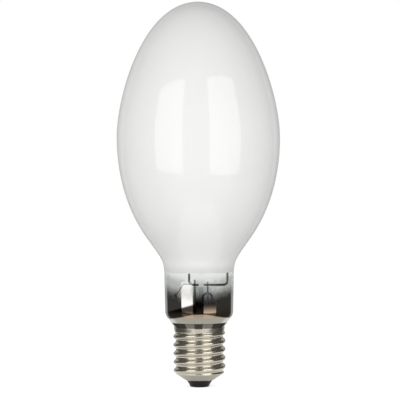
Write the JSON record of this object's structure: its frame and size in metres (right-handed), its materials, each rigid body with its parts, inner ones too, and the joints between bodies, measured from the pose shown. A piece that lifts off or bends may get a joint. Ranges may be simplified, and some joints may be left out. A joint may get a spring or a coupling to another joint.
{
  "type": "high pressure sodium lamp",
  "caption": "High pressure sodium lamp: white coated elliptical glass bulb with a clear, mirror-darkened neck on a large Edison screw cap.",
  "frame": {"origin": "middle of the centre contact's flat face, at the cap's lower end", "axes": "+Z along the lamp's axis from the cap towards the dome; +X towards the frame's rail, the right side in the picture; the picture looks along +Y"},
  "size_m": [0.122, 0.122, 0.2876],
  "materials": {
    "coated_glass": "clear gloss outside, white powder coat inside, dark mirror film in the neck",
    "clear_glass": "clear, pressed and drawn",
    "black_glass": "opaque black, glossy",
    "plated_brass": "bright nickel plate on brass",
    "solder": "soft grey solder",
    "cement": "matt baked cement",
    "nickel_wire": "drawn nickel wire",
    "copper_wire": "drawn copper wire",
    "frame_steel": "nickel plated steel wire and strip",
    "alumina": "translucent white alumina",
    "niobium": "drawn niobium tube",
    "tungsten": "dark tungsten"
  },
  "bodies": {
    "root": {"outer_bulb": "coated_glass", "stem": "clear_glass", "exhaust_tube": "clear_glass", "cap_shell": "plated_brass", "cap_insulator": "black_glass", "centre_contact": "plated_brass", "contact_solder": "solder", "side_solder": "solder", "basing_cement": "cement", "contact_lead": "nickel_wire", "shell_lead": "nickel_wire", "contact_lead_tail": "copper_wire", "shell_lead_tail": "copper_wire", "frame_rail": "frame_steel", "lower_support": "frame_steel", "left_dome_spring": "frame_steel", "right_dome_spring": "frame_steel", "upper_guide": "frame_steel", "upper_strap": "nickel_wire", "arc_tube": "alumina", "lower_plug": "alumina", "upper_plug": "alumina", "lower_niobium_tube": "niobium", "upper_niobium_tube": "niobium", "lower_electrode": "tungsten", "upper_electrode": "tungsten", "lower_electrode_coil": "tungsten", "upper_electrode_coil": "tungsten", "side_getter": "frame_steel", "back_getter": "frame_steel", "side_getter_wire": "frame_steel", "back_getter_wire": "frame_steel"}
  },
  "joints": []
}
